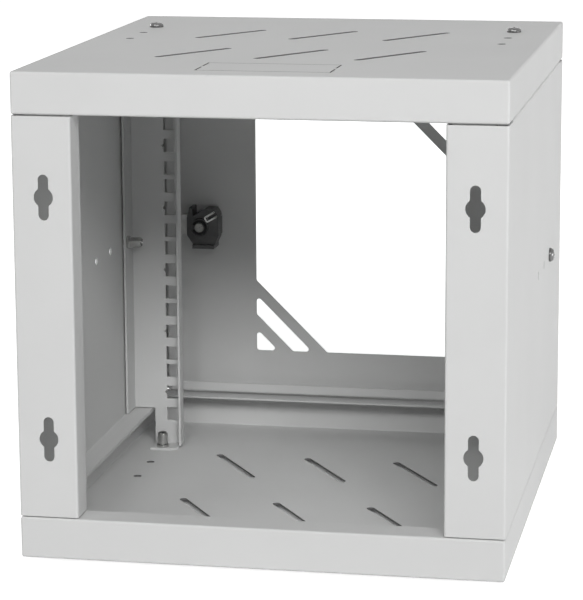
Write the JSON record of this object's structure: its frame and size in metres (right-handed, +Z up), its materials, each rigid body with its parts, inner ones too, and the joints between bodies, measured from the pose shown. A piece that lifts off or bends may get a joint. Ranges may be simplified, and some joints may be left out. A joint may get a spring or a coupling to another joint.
{
  "type": "wall mount rack cabinet",
  "caption": "Ten-inch wall cabinet of folded grey sheet steel with a hinged glass door, key lock, vented trays, adjustable rack rails and keyholes in its rear columns.",
  "frame": {"origin": "under the middle of the cabinet, level with the lowest screw heads", "axes": "+Z up, -Y out of the front door, +Y into the wall, +X to the right when facing the door"},
  "size_m": [0.3066, 0.3448, 0.3086],
  "materials": {
    "powder_coat": "fine textured light grey powder coat",
    "zinc_steel": "bright zinc plated",
    "lock_bolt_steel": "dull plated",
    "blackened_steel": "blackened spring steel",
    "safety_glass": "clear polished",
    "black_tape": "matte foam tape",
    "black_lock": "black painted casting",
    "nylon": "natural nylon",
    "lock_brass": "nickel plated"
  },
  "bodies": {
    "cabinet": {"bottom_tray": "powder_coat", "top_tray": "powder_coat", "right_side_panel": "powder_coat", "left_side_panel": "powder_coat", "right_rack_rail": "powder_coat", "left_rack_rail": "powder_coat", "rail_screws": "zinc_steel", "rail_nuts": "zinc_steel", "pivot_pins": "zinc_steel"},
    "door": {"door_frame": "powder_coat", "door_glass": "safety_glass", "glass_tape": "black_tape", "pivot_bushes": "nylon", "lock_housing": "black_lock", "lock_collar": "lock_brass", "lock_clip": "zinc_steel"},
    "plug": {"lock_plug": "lock_brass", "plug_circlip": "blackened_steel"},
    "bolt": {"lock_bolt": "lock_bolt_steel"}
  },
  "joints": [
    {"name": "door_swing", "type": "hinge", "parent": "cabinet", "child": "door", "pos_m": [-0.129, -0.1616, 0.1543], "axis": [0, 0, -1], "range_deg": [0, 100]},
    {"name": "key_turn", "type": "hinge", "parent": "door", "child": "plug", "pos_m": [0.109, -0.1676, 0.1543], "axis": [0, 1, 0], "range_deg": [0, 90]},
    {"name": "bolt_slide", "type": "slide", "parent": "door", "child": "bolt", "axis": [1, 0, 0], "range_m": [0, 0.008]}
  ],
  "couplings": [
    {"joint": "key_turn", "follows": "bolt_slide", "rad_per_m": 196.35}
  ]
}
